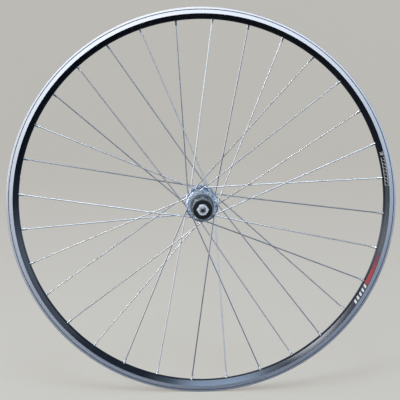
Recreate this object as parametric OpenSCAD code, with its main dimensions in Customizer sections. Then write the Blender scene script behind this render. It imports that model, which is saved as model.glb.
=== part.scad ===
// Rear bicycle wheel for a rim brake: hollow quick-release axle, cone bearings, splined freehub.
// The wheel's axle lies along Y and the drive side faces -Y. Every part is drawn flat first, with
// the axle along z and the drive side up, and on_axle() then stands the wheel up.

/* [Rim] */
// Bead seat diameter of the rim
bead_seat_d = 622; // [559:1:630]
// Width over the brake tracks
rim_w = 19.6; // [18.5:0.1:24]
// Height of the side wall above the bead seat
flange_h = 6; // [5.5:0.1:6.5]
// Height of the brake track
track_h = 10; // [9.5:0.1:11]
// Depth from the brake track's lower edge to the spoke bed
taper_h = 9; // [8.5:0.1:14]
// Thickness of the side walls
side_wall = 1.6; // [1.2:0.1:2]
// Thickness of the spoke bed
bed_wall = 1.8; // [1.4:0.1:2.4]
// Thickness of the tyre bed
tyre_bed_wall = 1.4; // [1:0.1:1.8]
// Diameter of the valve hole
valve_hole_d = 6.5; // [6.3:0.1:8.5]
// Depth of the wear groove in the brake track
wear_groove = 0.35; // [0.2:0.05:0.5]
// Sideways stagger of the spoke holes
hole_stagger = 1; // [0:0.1:1.5]
// Length of the sleeve that joins the rim's ends
sleeve_len = 46; // [30:1:48]

/* [Spokes] */
// Number of spokes
spoke_count = 32; // [28:4:36]
// Number of times each spoke crosses others
crosses = 3; // [2:1:3]
// Spoke diameter
spoke_d = 2; // [1.8:0.1:2.1]
// Diameter of a spoke's head
head_d = 3.8; // [3.4:0.1:4]
// Thickness of a spoke's head
head_t = 1.1; // [0.8:0.1:1.3]
// Radius of the spoke's elbow on its centre line
elbow_r = 1.9; // [1.7:0.1:2.1]
// Nipple shank diameter
nipple_d = 4; // [3.8:0.1:4.2]
// Nipple head diameter
nipple_head_d = 6; // [5.6:0.1:6.4]
// Nipple length
nipple_len = 12; // [11:1:14]
// Distance across the nipple's flats
nipple_flats = 3.3; // [3.2:0.1:3.4]
// Angle of the first spoke hole
first_hole = 8; // [0:0.5:11]

/* [Hub] */
// Width over the locknuts
locknut_w = 130; // [126:0.5:135]
// Length that the axle stands out past each locknut
axle_proud = 5.5; // [4:0.1:6]
// Axle diameter
axle_d = 10; // [9.5:0.1:10]
// Bore for the quick-release skewer
axle_bore_d = 5.2; // [5.1:0.1:5.6]
// Drive-side flange to the freehub's shoulder
shoulder_gap = 5.4; // [4.6:0.1:7]
// Wheel centre to left flange
left_flange = 37; // [32:0.5:38]
// Outside diameter of the flanges
flange_d = 53; // [50:1:64]
// Centre of a spoke hole to the flange's edge
hole_margin = 4; // [3.6:0.1:4.4]
// Thickness of a flange at the spoke holes
flange_t = 3; // [2.6:0.1:3.2]
// Thickness of a flange at its edge
flange_edge_t = 1.4; // [1.2:0.1:2]
// Diameter of the spoke holes
spoke_hole_d = 2.6; // [2.4:0.1:2.8]
// Diameter of the barrel between the flanges
barrel_d = 26; // [25:0.5:28]
// Distance across the locknuts' flats
locknut_flats = 17; // [15:1:17]
// Distance across the left cone's flats
cone_flats = 15; // [14.5:0.5:16]

/* [Freehub] */
// Diameter over the splines
spline_d = 34.9; // [34.4:0.1:35]
// Diameter at the bottom of the splines
spline_root_d = 32.4; // [32.4:0.1:33]
// Number of splines
spline_count = 9; // [9:1:9]
// Length of the splined body, shoulder included
body_len = 35.6; // [35.6:0.1:37.5]
// Diameter of the shoulder that the sprockets rest on
shoulder_d = 38; // [37:0.5:38.5]
// Diameter of the lockring thread
lockring_d = 30.6; // [30.4:0.1:30.8]
// Number of ratchet teeth
ratchet_teeth = 16; // [16:4:20]
// Angle that a pawl swings out
pawl_swing = 9; // [7:0.5:10]

/* [Bearings] */
// Diameter of the hub's bearing balls
hub_ball_d = 6.35; // [5.5:0.05:6.35]
// Balls in each hub bearing
hub_balls = 9; // [7:1:9]
// Circle of the hub's ball centres
hub_ball_circle = 19.2; // [19:0.1:19.4]
// Diameter of the freehub's bearing balls
free_ball_d = 3.175; // [2.9:0.025:3.175]
// Balls in each freehub row
free_balls = 25; // [20:1:25]
// Circle of the freehub's ball centres
free_ball_circle = 26.6; // [26.5:0.1:26.8]

/* [Fits] */
// Play between a ball and its race
race_play = 0.04; // [0.02:0.01:0.08]
// Gap between parts that turn past each other
turn_gap = 0.4; // [0.3:0.05:0.5]
// Play round a nipple in the rim
nipple_play = 0.15; // [0.1:0.05:0.25]
// Gap between a pawl's heel and its socket
pawl_play = 0.08; // [0.05:0.01:0.1]
// Gap between two spokes where they cross
cross_gap = 0.06; // [0.02:0.02:0.2]

/* [Hidden] */
$fn = 72;
eps = 0.01;

silver = [0.80, 0.81, 0.83];
steel = [0.66, 0.67, 0.69];
spoke_steel = [0.74, 0.73, 0.70];
dark_steel = [0.36, 0.38, 0.38];
rubber = [0.07, 0.07, 0.08];
rim_black = [0.10, 0.10, 0.12];

// Rim section, as radius from the axle and distance from the wheel's middle plane
seat_r = bead_seat_d / 2;
rim_r = seat_r + flange_h;
track_low_r = rim_r - track_h;
bed_r = track_low_r - taper_h;
half_w = rim_w / 2;
inner_half = half_w - side_wall;
hook = 0.8;
edge_chamfer = 0.4;
paint_step = 0.2;
bed_curve = 6;
bed_sweep = 55;
wear_groove_r = rim_r - 3.6;
wear_groove_half = 0.5;
well_r = seat_r - 2.8;
well_half = 3;
tyre_bed_low_r = well_r - tyre_bed_wall;
seat_half = half_w - 3.6;
arc_steps = 4;
fillet_steps = 6;

// Lacing: the drive side has the odd rim holes, the left side the even ones
wire_r = spoke_d / 2;
pcd_r = flange_d / 2 - hole_margin;
rim_pitch = 360 / spoke_count;
lace_angle = crosses * 2 * rim_pitch;
rim_hole_r = bed_r + bed_wall / 2;
plan_len = sqrt(pow(rim_hole_r, 2) + pow(pcd_r, 2) - 2 * rim_hole_r * pcd_r * cos(lace_angle));
// Part of the spoke's length from its hub hole to its outermost crossing
cross_part = pcd_r * sin(lace_angle - rim_pitch)
    / (pcd_r * sin(lace_angle - rim_pitch) + rim_hole_r * sin(rim_pitch));
rim_lean = asin(pcd_r * sin(lace_angle) / plan_len);
hub_lean = lace_angle + rim_lean;
flat_r = pcd_r + head_d / 2;
flat_run = sqrt(pow(flat_r, 2) - pow(pcd_r * sin(hub_lean), 2)) - pcd_r * cos(hub_lean);
half_gap = wire_r + cross_gap / 2;
lift = flange_t / 2 + wire_r + 0.1;
flange_step = 0.05;
nipple_seat = bed_wall / 2;
nipple_head_t = 2.4;
flats_len = 5;
spoke_end = 1.2;
bead_r = 1.03 * wire_r;
bead_inset = 0.1;
access_r = nipple_head_d / 2 + 1.2;
valve_angle = first_hole + (round(spoke_count / 2) - 1.5) * rim_pitch;

// Places along the axle, positive towards the drive side
end_s = locknut_w / 2;
locknut_t = 4.2;
washer_t = 0.8;
washer_r = locknut_flats / 2 - 0.3;
cone_r = 8.4;
cone_tip_r = hub_ball_circle / 2 - hub_ball_d / 2 - 0.1;
cone_tip = 1;
axle_r = axle_d / 2;
ball_r = hub_ball_d / 2;
track_r = hub_ball_circle / 2;
race_r = ball_r + race_play;
mouth_r = track_r + ball_r + race_play / 2;
lip_bore_r = track_r - 0.4;
seal_t = 1.5;
cap_t = 0.8;
cap_bore_r = cone_r + turn_gap;
drive_cone_end = end_s - locknut_t - washer_t;
drive_seal_in = drive_cone_end - seal_t;
cup_end = drive_seal_in - 0.3;
drive_ball_s = cup_end - 0.2 - cap_t - turn_gap - ball_r;
left_ball_s = left_flange + 3.4;
left_cup_in = left_ball_s - 4.4;
left_cup_out = left_ball_s + 4;
left_shell_end = left_cup_out + cap_t + 0.6;
left_seal_in = left_shell_end + turn_gap;
left_seal_t = 2.2;
left_seal_r = 13.5;
left_cone_end = left_seal_in + left_seal_t + 4.8;
left_flats_in = left_cone_end - 4;
cup_r = mouth_r + 1.4;

// Freehub
spline_r = spline_d / 2;
spline_root_r = spline_root_d / 2;
shoulder_r = shoulder_d / 2;
lockring_r = lockring_d / 2;
body_out = drive_cone_end + 1;
body_in = body_out - body_len;
drive_flange = body_in - shoulder_gap;
shell_face = body_in - 1.4;
free_r = free_ball_circle / 2;
free_ball_r = free_ball_d / 2;
free_race_r = free_ball_r + race_play;
inner_row_s = body_in + 5.6;
outer_row_s = drive_ball_s - 5.6;
free_mouth_r = free_r + free_ball_r + race_play / 2;
free_floor_r = free_r - free_race_r - 0.03;
web_r = free_r - 0.3;
shoulder_t = 2.8;
seal_bore_r = 14;
inner_seal_t = 1.6;
core_lip_r = free_r - 0.4;
core_end = outer_row_s - 1.6;
shim_t = 0.3;
thread_r = 10.6;
thread_len = 2.6;
cup_flange_r = free_mouth_r - 0.32;
cup_flange_in = outer_row_s + free_ball_r + 0.8;
head_bore_r = 8.5;
bolt_head_r = 8.2;
bolt_r = 7.5;
bolt_bore_r = 5.5;
bolt_hex = 10.2;
bolt_seat = shell_face + 3;
bolt_head_t = 5;
bolt_end = 8;
socket_in = shell_face - 5;
socket_r = 10.4;
socket_teeth = 12;
tooth_tip_r = 12.6;
tooth_root_r = 13.7;
core_r = tooth_tip_r - turn_gap;
teeth_in = body_in + 10.1;
teeth_out = teeth_in + 8;
pawl_in = teeth_in + 0.5;
pawl_out = teeth_out - 0.5;
pawl_r = 10.75;
heel_r = 1.25;
pawl_top_r = core_r - 0.15;
tooth_gap = 0.25;
pawl_floor_r = 10.6;
pawl_reach = 33;
pocket_floor_r = 10;
spring_t = 0.25;
spring_w = 3;

module on_axle() {
    rotate([90, 0, 0]) children();
}

// A tube with its axis on the axle, from s0 to s1
module ring(outer, inner, s0, s1) {
    translate([0, 0, s0]) difference() {
        cylinder(r = outer, h = s1 - s0);
        translate([0, 0, -1]) cylinder(r = inner, h = s1 - s0 + 2);
    }
}

module disc(r, s0, s1) {
    translate([0, 0, s0]) cylinder(r = r, h = s1 - s0);
}

// The groove that a row of balls runs in
module race(circle_r, groove_r, s) {
    translate([0, 0, s]) rotate_extrude() translate([circle_r, 0]) circle(r = groove_r);
}

module balls(circle_r, r, count, s) {
    for (i = [0 : count - 1])
        rotate([0, 0, i * 360 / count]) translate([circle_r, 0, s]) sphere(r = r);
}

// Rim ------------------------------------------------------------------------------------------

// One side of the outer section, from the well of the tyre bed round to the spoke bed
function rim_side() = concat(
    [
        [well_r, well_half], [well_r + 0.4, well_half + 1.2], [seat_r - 0.2, seat_half],
        [seat_r - 0.1, inner_half - 0.7], [seat_r + 0.6, inner_half],
        [rim_r - 2.4, inner_half], [rim_r - 1.6, inner_half - hook],
        [rim_r - 0.8, inner_half - hook], [rim_r, inner_half],
        [rim_r, half_w - edge_chamfer], [rim_r - edge_chamfer, half_w],
        [wear_groove_r + wear_groove_half, half_w],
        [wear_groove_r + wear_groove_half / 2, half_w - wear_groove],
        [wear_groove_r - wear_groove_half / 2, half_w - wear_groove],
        [wear_groove_r - wear_groove_half, half_w],
        [track_low_r, half_w], [track_low_r - paint_step, half_w - paint_step]
    ],
    [for (i = [arc_steps : -1 : 0]) bed_point(bed_curve, bed_sweep * i / arc_steps)]
);

function bed_point(r, a) = [bed_r + bed_curve - r * cos(a), r * sin(a)];

function cavity_side() = concat(
    [
        [tyre_bed_low_r, well_half], [tyre_bed_low_r + 0.3, well_half + 1.7],
        [seat_r - 1.7, seat_half + 0.6], [seat_r - 1.7, inner_half - 0.1],
        [track_low_r, inner_half - 0.1]
    ],
    [for (i = [arc_steps : -1 : 0]) bed_point(bed_curve - bed_wall, bed_sweep * i / arc_steps)]
);

function other_side(points) =
    [for (i = [len(points) - 1 : -1 : 0]) [points[i][0], -points[i][1]]];

// The last point of a side lies on the middle plane, so the other side leaves it out
function whole(points) = concat(points, [for (p = other_side(points)) if (p[1] < -eps) p]);

module rim() color(rim_black) on_axle() {
    difference() {
        rotate_extrude() polygon(whole(rim_side()));
        rotate_extrude() polygon(whole(cavity_side()));
        for (k = [0 : spoke_count - 1]) at_rim_hole(k) nipple_seat_cut();
        rotate([0, 0, valve_angle]) translate([bed_r - 2, 0, 0])
            rotate([0, 90, 0]) cylinder(d = valve_hole_d, h = rim_r - bed_r);
    }
}

// The sleeve stops short of the two spoke holes beside the rim's joint
module rim_joint_sleeve() color(silver) on_axle() {
    play = 0.1;
    arc = sleeve_len / rim_hole_r * 180 / PI;
    rotate([0, 0, valve_angle + 180 - arc / 2]) rotate_extrude(angle = arc) difference() {
        polygon([
            [tyre_bed_low_r - play, -well_half], [tyre_bed_low_r - play, well_half],
            [tyre_bed_low_r + 0.3 - play, well_half + 1.7],
            [seat_r - 2, seat_half + 0.6], [seat_r - 2, inner_half - 0.3],
            [track_low_r - 0.1, inner_half - 0.3], bed_point(bed_curve - bed_wall - play, bed_sweep),
            bed_point(bed_curve - bed_wall - play, 20), bed_point(bed_curve - bed_wall - play, -20),
            bed_point(bed_curve - bed_wall - play, -bed_sweep), [track_low_r - 0.1, 0.3 - inner_half],
            [seat_r - 2, 0.3 - inner_half], [seat_r - 2, -seat_half - 0.6],
            [tyre_bed_low_r + 0.3 - play, -well_half - 1.7]
        ]);
        translate([bed_r + bed_curve, 0]) square([2.6, 7], center = true);
    }
}

// Spokes and nipples ---------------------------------------------------------------------------

// Odd holes go to the drive side, even ones to the left side
function side(k) = k % 2 == 1 ? 1 : -1;
function flange_s(k) = k % 2 == 1 ? drive_flange : left_flange;
// Which way round the hub a spoke leans. Pulling spokes leave the flange's outer face
function turn(k) = (k % 4 == 1 || k % 4 == 2) ? -1 : 1;
function pulling(k) = turn(k) < 0;
function cross_s(k) = flange_s(k) * (1 - cross_part) + hole_stagger * cross_part;

// The spoke's centre line, as distance from the hub hole and distance out from the middle plane
function outward_path(k) = pulling(k)
    ? [
        [0, flange_s(k) + lift], [flat_run, flange_s(k) + lift - flange_step],
        [plan_len * cross_part, cross_s(k) - half_gap], [plan_len, hole_stagger]
    ]
    : [
        [0, flange_s(k) - lift],
        [plan_len * cross_part, cross_s(k) + half_gap], [plan_len, hole_stagger]
    ];
function path(k) = [for (p = outward_path(k)) [p[0], side(k) * p[1]]];
function slope(a, b) = atan2(b[1] - a[1], b[0] - a[0]);
function last_slope(p) = slope(p[len(p) - 2], p[len(p) - 1]);

// x runs along the spoke in plan, from the hub hole
module along_spoke(k) {
    rotate([0, 0, first_hole + k * rim_pitch + turn(k) * lace_angle]) translate([pcd_r, 0, 0])
        rotate([0, 0, -turn(k) * hub_lean]) children();
}

// z points outward along the end of the spoke, from the middle of the spoke bed's wall
module at_rim_hole(k) {
    along_spoke(k) translate([plan_len, 0, side(k) * hole_stagger])
        rotate([0, 90 - last_slope(path(k)), 0]) children();
}

// A straight stretch, which stops just short of the beads at its ends
module wire(a, b) {
    translate([a[0], 0, a[1]]) rotate([0, 90 - slope(a, b), 0]) translate([0, 0, bead_inset])
        cylinder(r = wire_r, h = norm(b - a) - 2 * bead_inset, $fn = 24);
}

// A bead joins two stretches at a bend, and is a hair thicker than the wire that comes in at this slope
module bead(p, along) {
    translate([p[0], 0, p[1]]) rotate([0, 90 - along, 0]) sphere(r = bead_r, $fn = 24);
}

module elbow(corner, up, sweep) {
    run = elbow_r * tan(sweep / 2);
    inset = bead_inset / elbow_r * 180 / PI;
    translate([elbow_r, 0, corner[1] - up * run]) rotate([90, 0, 0])
        rotate([0, 0, (up > 0 ? 180 - sweep : 180) + inset])
            rotate_extrude(angle = sweep - 2 * inset, $fn = 48)
                translate([elbow_r, 0]) circle(r = wire_r, $fn = 24);
}

// The head lies against one face of the flange, and the wire leaves along the other
module spoke(k) {
    p = path(k);
    up = side(k) * (pulling(k) ? 1 : -1);
    first = slope(p[0], p[1]);
    sweep = 90 - up * first;
    run = elbow_r * tan(sweep / 2);
    bend_end = [run * cos(first), p[0][1] + run * sin(first)];
    seat = side(k) * flange_s(k) - up * flange_t / 2;
    end = last_slope(p);
    tail = p[len(p) - 1] + (nipple_seat + spoke_end) * [cos(end), sin(end)];
    bend_start = [0, p[0][1] - up * run];
    along_spoke(k) {
        wire([0, seat - up * head_t / 2], bend_start);
        bead(bend_start, 90);
        elbow(p[0], up, sweep);
        bead(bend_end, first);
        translate([0, 0, seat]) rotate([up > 0 ? 180 : 0, 0, 0]) {
            cylinder(d = head_d, h = head_t * 0.6, $fn = 32);
            translate([0, 0, head_t * 0.6]) cylinder(d1 = head_d, d2 = head_d * 0.6, h = head_t * 0.4);
        }
        wire(bend_end, p[1]);
        for (i = [1 : len(p) - 2]) {
            bead(p[i], slope(p[i - 1], p[i]));
            wire(p[i], i == len(p) - 2 ? tail : p[i + 1]);
        }
    }
}

module spokes(first) color(spoke_steel) on_axle() {
    for (k = [first : 4 : spoke_count - 1]) spoke(k);
}

module drive_pulling_spokes() spokes(1);
module drive_static_spokes() spokes(3);
module left_pulling_spokes() spokes(2);
module left_static_spokes() spokes(0);

// Clears the shank, seats the head and opens the tyre bed above it
module nipple_seat_cut() {
    translate([0, 0, -6]) cylinder(d = nipple_d + 2 * nipple_play, h = 8);
    translate([0, 0, nipple_seat]) cylinder(d = nipple_head_d + 2 * nipple_play, h = 4);
    translate([0, 0, nipple_seat + 4 - eps]) cylinder(r = access_r, h = 10);
}

module nipple() {
    foot = nipple_seat + nipple_head_t - nipple_len;
    difference() {
        union() {
            translate([0, 0, foot]) intersection() {
                cylinder(d = nipple_d, h = flats_len, $fn = 32);
                translate([-nipple_flats / 2, -nipple_flats / 2, -1])
                    cube([nipple_flats, nipple_flats, flats_len + 2]);
            }
            translate([0, 0, foot + flats_len])
                cylinder(d = nipple_d, h = nipple_seat - foot - flats_len, $fn = 32);
            translate([0, 0, nipple_seat])
                cylinder(d = nipple_head_d, h = nipple_head_t * 0.5, $fn = 32);
            translate([0, 0, nipple_seat + nipple_head_t * 0.5])
                cylinder(d1 = nipple_head_d, d2 = nipple_head_d * 0.7, h = nipple_head_t * 0.5, $fn = 32);
        }
        translate([0, 0, foot - 1]) cylinder(r = wire_r, h = nipple_len + 2, $fn = 24);
        translate([-nipple_head_d / 2, -0.6, nipple_seat + nipple_head_t - 1])
            cube([nipple_head_d, 1.2, 2]);
    }
}

module nipples(first) color(silver) on_axle() {
    for (k = [first : 2 : spoke_count - 1]) at_rim_hole(k) nipple();
}

module drive_nipples() nipples(1);
module left_nipples() nipples(0);

// Hub shell ------------------------------------------------------------------------------------

// A quarter round that fills the corner between a cylinder of radius r and the plane at s
function fillet(r, s, size, dir) =
    [for (i = [0 : fillet_steps]) [
        r + size - size * cos(90 * i / fillet_steps),
        s + dir * (size - size * sin(90 * i / fillet_steps))
    ]];
function back(points) = [for (i = [len(points) - 1 : -1 : 0]) points[i]];

function flange_outline(s) = [
    [flat_r, s - flange_t / 2], [flange_d / 2, s - flange_edge_t / 2],
    [flange_d / 2, s + flange_edge_t / 2], [flat_r, s + flange_t / 2]
];

module hub_shell() color(silver) on_axle() {
    barrel_r = barrel_d / 2;
    root = 5;
    drive_boss_r = socket_r + 6.4;
    left_boss_r = cup_r + 2.2;
    difference() {
        rotate_extrude() polygon(concat(
            [[0, -left_shell_end], [left_boss_r - 0.8, -left_shell_end]],
            [[left_boss_r, 0.8 - left_shell_end]],
            fillet(left_boss_r, -left_flange - flange_t / 2, 1.5, -1),
            flange_outline(-left_flange),
            back(fillet(barrel_r, flange_t / 2 - left_flange, root, 1)),
            fillet(barrel_r, drive_flange - flange_t / 2, root, -1),
            flange_outline(drive_flange),
            back(fillet(drive_boss_r, drive_flange + flange_t / 2, 0.8, 1)),
            [[drive_boss_r, shell_face], [0, shell_face]]
        ));
        disc(cup_r, -left_shell_end - 1, -left_cup_in);
        disc(lip_bore_r, -left_cup_in - 1, bolt_end - 4);
        disc(bolt_r, bolt_end - 5, socket_in + 1);
        disc(socket_r, socket_in, shell_face + 1);
        for (i = [0 : socket_teeth - 1]) rotate([0, 0, i * 360 / socket_teeth])
            translate([socket_r, 0, socket_in]) cylinder(r = 0.9, h = shell_face - socket_in + 1);
        for (k = [1 : 2 : spoke_count - 1]) flange_hole(k, drive_flange);
        for (k = [0 : 2 : spoke_count - 1]) flange_hole(k, -left_flange);
    }
}

module flange_hole(k, s) {
    rotate([0, 0, first_hole + k * rim_pitch + turn(k) * lace_angle])
        translate([pcd_r, 0, s - flange_t]) cylinder(d = spoke_hole_d, h = 2 * flange_t);
}

// Axle set -------------------------------------------------------------------------------------

// The ends are turned down from just outside the locknuts, so that they drop into the frame
module axle() color(steel) on_axle() {
    chamfer = 0.8;
    length = locknut_w + 2 * axle_proud;
    end_r = axle_r - 0.2;
    difference() {
        union() {
            disc(axle_r, -end_s - 0.3, end_s + 0.3);
            disc(end_r, chamfer - length / 2, length / 2 - chamfer);
            for (m = [0, 1]) mirror([0, 0, m]) translate([0, 0, length / 2 - chamfer])
                cylinder(r1 = end_r, r2 = end_r - chamfer, h = chamfer);
        }
        disc(axle_bore_d / 2, -length, length);
    }
}

// The race faces the wheel's middle plane. tip is the cone's end there
module cone(ball_s, end) {
    difference() {
        union() {
            disc(cone_tip_r, ball_s - cone_tip, ball_s + 1);
            disc(cone_r, ball_s + 0.5, end);
        }
        disc(axle_r, 0, end + 1);
        race(track_r, race_r, ball_s);
    }
}

module drive_cone() color(steel) on_axle() cone(drive_ball_s, drive_cone_end);

module left_cone() color(steel) on_axle() mirror([0, 0, 1]) difference() {
    cone(left_ball_s, left_cone_end);
    for (a = [0, 180]) rotate([0, 0, a]) translate([cone_flats / 2, -cone_r, left_flats_in])
        cube([cone_r, 2 * cone_r, left_cone_end]);
}

module drive_seal() color(rubber) on_axle() difference() {
    ring(lockring_r - turn_gap + 0.1, cone_r, drive_seal_in, drive_cone_end);
    ring(lockring_r - 2.2, lockring_r - 4.2, drive_cone_end - 0.6, drive_cone_end + 1);
}

module left_seal() color(rubber) on_axle() mirror([0, 0, 1]) difference() {
    ring(left_seal_r, cone_r, left_seal_in, left_seal_in + left_seal_t);
    ring(left_seal_r - 1.6, cone_r + 1.6, left_seal_in + left_seal_t - 0.8, left_seal_in + 9);
}

module drive_lock_washer() color(steel) on_axle()
    ring(washer_r, axle_r, drive_cone_end, drive_cone_end + washer_t);

module left_lock_washer() color(steel) on_axle() mirror([0, 0, 1])
    ring(washer_r, axle_r, left_cone_end, left_cone_end + washer_t);

module left_spacer() color(silver) on_axle() mirror([0, 0, 1])
    ring(washer_r - 0.8, axle_r, left_cone_end + washer_t, end_s - locknut_t);

// A hexagon with turned corners and a serrated face that bites the frame
module locknut() {
    corner_r = locknut_flats / 2 / cos(30);
    serrations = 20;
    tooth = 0.3;
    difference() {
        intersection() {
            translate([0, 0, end_s - locknut_t]) cylinder(r = corner_r, h = locknut_t, $fn = 6);
            translate([0, 0, end_s - locknut_t])
                cylinder(r1 = corner_r + 2.4, r2 = locknut_flats / 2 - 0.4, h = locknut_t);
        }
        disc(axle_r, 0, end_s + 1);
        for (i = [0 : serrations - 1]) rotate([0, 0, (i + 0.5) * 360 / serrations])
            translate([axle_r + 0.8, 0, end_s]) rotate([45, 0, 0])
                cube([locknut_flats, tooth, tooth]);
    }
}

module drive_locknut() color(silver) on_axle() locknut();
module left_locknut() color(silver) on_axle() mirror([0, 0, 1]) locknut();

// Left bearing ---------------------------------------------------------------------------------

module left_bearing_cup() color(steel) on_axle() mirror([0, 0, 1]) difference() {
    disc(cup_r, left_cup_in, left_cup_out);
    disc(lip_bore_r, left_cup_in - 1, left_ball_s);
    disc(mouth_r, left_ball_s, left_cup_out + 1);
    race(track_r, race_r, left_ball_s);
}

module left_dust_cap() color(steel) on_axle() mirror([0, 0, 1])
    ring(cup_r, cap_bore_r, left_cup_out, left_cup_out + cap_t);

module left_bearing_balls() color(steel) on_axle()
    balls(track_r, ball_r, hub_balls, -left_ball_s);

module drive_bearing_balls() color(steel) on_axle()
    balls(track_r, ball_r, hub_balls, drive_ball_s);

// Freehub --------------------------------------------------------------------------------------

module freehub_core() color(steel) on_axle() difference() {
    union() {
        disc(socket_r, socket_in, shell_face + 1);
        for (i = [0 : socket_teeth - 1]) rotate([0, 0, i * 360 / socket_teeth])
            translate([socket_r, 0, socket_in]) cylinder(r = 0.85, h = shell_face - socket_in + 1);
        disc(core_lip_r, shell_face, inner_row_s);
        disc(free_floor_r, inner_row_s - 0.5, core_end - shim_t);
        disc(core_r, teeth_in - 0.4, teeth_out + 0.4);
    }
    disc(bolt_r + 0.1, socket_in - 1, bolt_seat + 1);
    disc(head_bore_r, bolt_seat, core_end + 1);
    disc(thread_r, core_end - shim_t - thread_len, core_end + 1);
    race(free_r, free_race_r, inner_row_s);
    for (a = [0, 180]) rotate([0, 0, a]) pawl_pocket();
}

module sector(outer, inner, from, to, s0, s1) {
    rotate([0, 0, from]) rotate_extrude(angle = to - from)
        translate([inner, s0]) square([outer - inner, s1 - s0]);
}

// The seat for the heel is cut a little deeper at each end than the pocket that opens from it
module pawl_pocket() {
    sector(core_r + 2, pocket_floor_r, 2, pawl_reach + 4, pawl_in - 0.3, pawl_out + 0.3);
    translate([pawl_r, 0, pawl_in - 0.4]) cylinder(r = heel_r + pawl_play, h = pawl_out - pawl_in + 0.8);
    sector(core_r + 2, pawl_r, -4, 3, pawl_in - 0.2, pawl_out + 0.2);
}

// Outer corner of the pawl's free end when the pawl has swung out by this angle
function pawl_tip(swing) =
    let (x = pawl_top_r * cos(pawl_reach) - pawl_r, y = pawl_top_r * sin(pawl_reach))
    [pawl_r + x * cos(swing) + y * sin(swing), y * cos(swing) - x * sin(swing)];

// The pawl's heel turns in the core and stands proud of its sides, and its free end drops into
// the ratchet
module pawl() {
    translate([pawl_r, 0, pawl_in]) cylinder(r = heel_r, h = pawl_out - pawl_in, $fn = 32);
    sector(pawl_top_r, pawl_floor_r, 4, pawl_reach, pawl_in + 0.15, pawl_out - 0.15);
}

module pawl_1() color(dark_steel) on_axle() pawl();
module pawl_2() color(dark_steel) on_axle() rotate([0, 0, 180]) pawl();

module pawl_springs() color(spoke_steel) on_axle() {
    middle = (pawl_in + pawl_out) / 2;
    for (a = [0, 180]) rotate([0, 0, a]) sector(pocket_floor_r + spring_t, pocket_floor_r,
        10, pawl_reach + 2, middle - spring_w / 2, middle + spring_w / 2);
}

// The cup closes the core, and its outside is the cone of the freehub's outer row
module freehub_cup() color(steel) on_axle() difference() {
    union() {
        disc(thread_r, core_end - shim_t - thread_len + 0.3, core_end + 0.5);
        disc(free_floor_r, core_end, outer_row_s + 0.5);
        disc(core_lip_r, outer_row_s, cup_flange_in + 0.5);
        disc(cup_flange_r, cup_flange_in, cup_end);
    }
    disc(lip_bore_r, 0, drive_ball_s);
    disc(mouth_r, drive_ball_s, cup_end + 1);
    race(track_r, race_r, drive_ball_s);
    race(free_r, free_race_r, outer_row_s);
    for (a = [0, 180]) rotate([0, 0, a])
        translate([mouth_r - 0.5, -1.5, cup_end - 1.5]) cube([4, 3, 2]);
}

module freehub_shim() color(spoke_steel) on_axle()
    ring(free_floor_r, thread_r, core_end - shim_t, core_end);

module drive_dust_cap() color(steel) on_axle()
    ring(mouth_r, cap_bore_r, cup_end - 0.2 - cap_t, cup_end - 0.2);

module freehub_bolt() color(dark_steel) on_axle() difference() {
    union() {
        disc(bolt_r, bolt_end, bolt_seat + 1);
        disc(bolt_head_r, bolt_seat, bolt_seat + bolt_head_t);
    }
    disc(bolt_bore_r, 0, bolt_seat + bolt_head_t + 1);
    translate([0, 0, bolt_seat - 3]) cylinder(r = bolt_hex / 2 / cos(30), h = bolt_head_t + 4, $fn = 6);
}

module freehub_body() color(dark_steel) on_axle() difference() {
    union() {
        disc(shoulder_r, body_in, body_in + shoulder_t);
        disc(spline_root_r, body_in + 1, body_out);
        intersection() {
            disc(spline_r, body_in + 1, body_out);
            for (i = [0 : spline_count - 1]) rotate([0, 0, 90 + i * 360 / spline_count]) spline(i);
        }
    }
    disc(seal_bore_r, body_in - 1, body_in + 4);
    disc(free_mouth_r, body_in + inner_seal_t + 1.4, inner_row_s);
    disc(web_r, body_in, body_out);
    translate([0, 0, teeth_in]) linear_extrude(height = teeth_out - teeth_in) ratchet();
    disc(free_mouth_r, outer_row_s, body_out);
    disc(lockring_r, cup_flange_in + 1, body_out + 1);
    race(free_r, free_race_r, inner_row_s);
    race(free_r, free_race_r, outer_row_s);
}

// One spline is wider, so that the sprockets go on one way only
module spline(i) {
    w = i == 0 ? 6 : 4;
    translate([spline_root_r - 1, -w / 2, body_in]) cube([4, w, body_len + 1]);
}

// The steep face of each tooth stops the pawl, and the long face lets it ride over
module ratchet() {
    pitch = 360 / ratchet_teeth;
    steep = 1.5;
    stop = pawl_tip(pawl_swing);
    phase = atan2(stop[1], stop[0]) + steep / 2 + asin(tooth_gap / norm(stop));
    polygon([for (i = [0 : ratchet_teeth - 1], j = [0, 1]) let (a = phase + i * pitch - (1 - j) * steep)
        (j == 0 ? tooth_root_r : tooth_tip_r) * [cos(a), sin(a)]]);
}

module freehub_inner_seal() color(rubber) on_axle()
    ring(seal_bore_r, core_lip_r + 0.3, body_in, body_in + inner_seal_t);

module freehub_outer_balls() color(steel) on_axle()
    balls(free_r, free_ball_r, free_balls, outer_row_s);

module freehub_inner_balls() color(steel) on_axle()
    balls(free_r, free_ball_r, free_balls, inner_row_s);

axle();
drive_cone();
drive_seal();
drive_lock_washer();
drive_locknut();
left_cone();
left_seal();
left_lock_washer();
left_spacer();
left_locknut();
rim();
rim_joint_sleeve();
drive_pulling_spokes();
drive_static_spokes();
left_pulling_spokes();
left_static_spokes();
drive_nipples();
left_nipples();
hub_shell();
left_bearing_cup();
left_dust_cap();
freehub_core();
freehub_cup();
freehub_shim();
freehub_bolt();
drive_dust_cap();
pawl_springs();
freehub_body();
freehub_inner_seal();
pawl_1();
pawl_2();
drive_bearing_balls();
left_bearing_balls();
freehub_outer_balls();
freehub_inner_balls();
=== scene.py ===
import math

import bpy
import bmesh
from mathutils import Matrix, Vector


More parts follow.
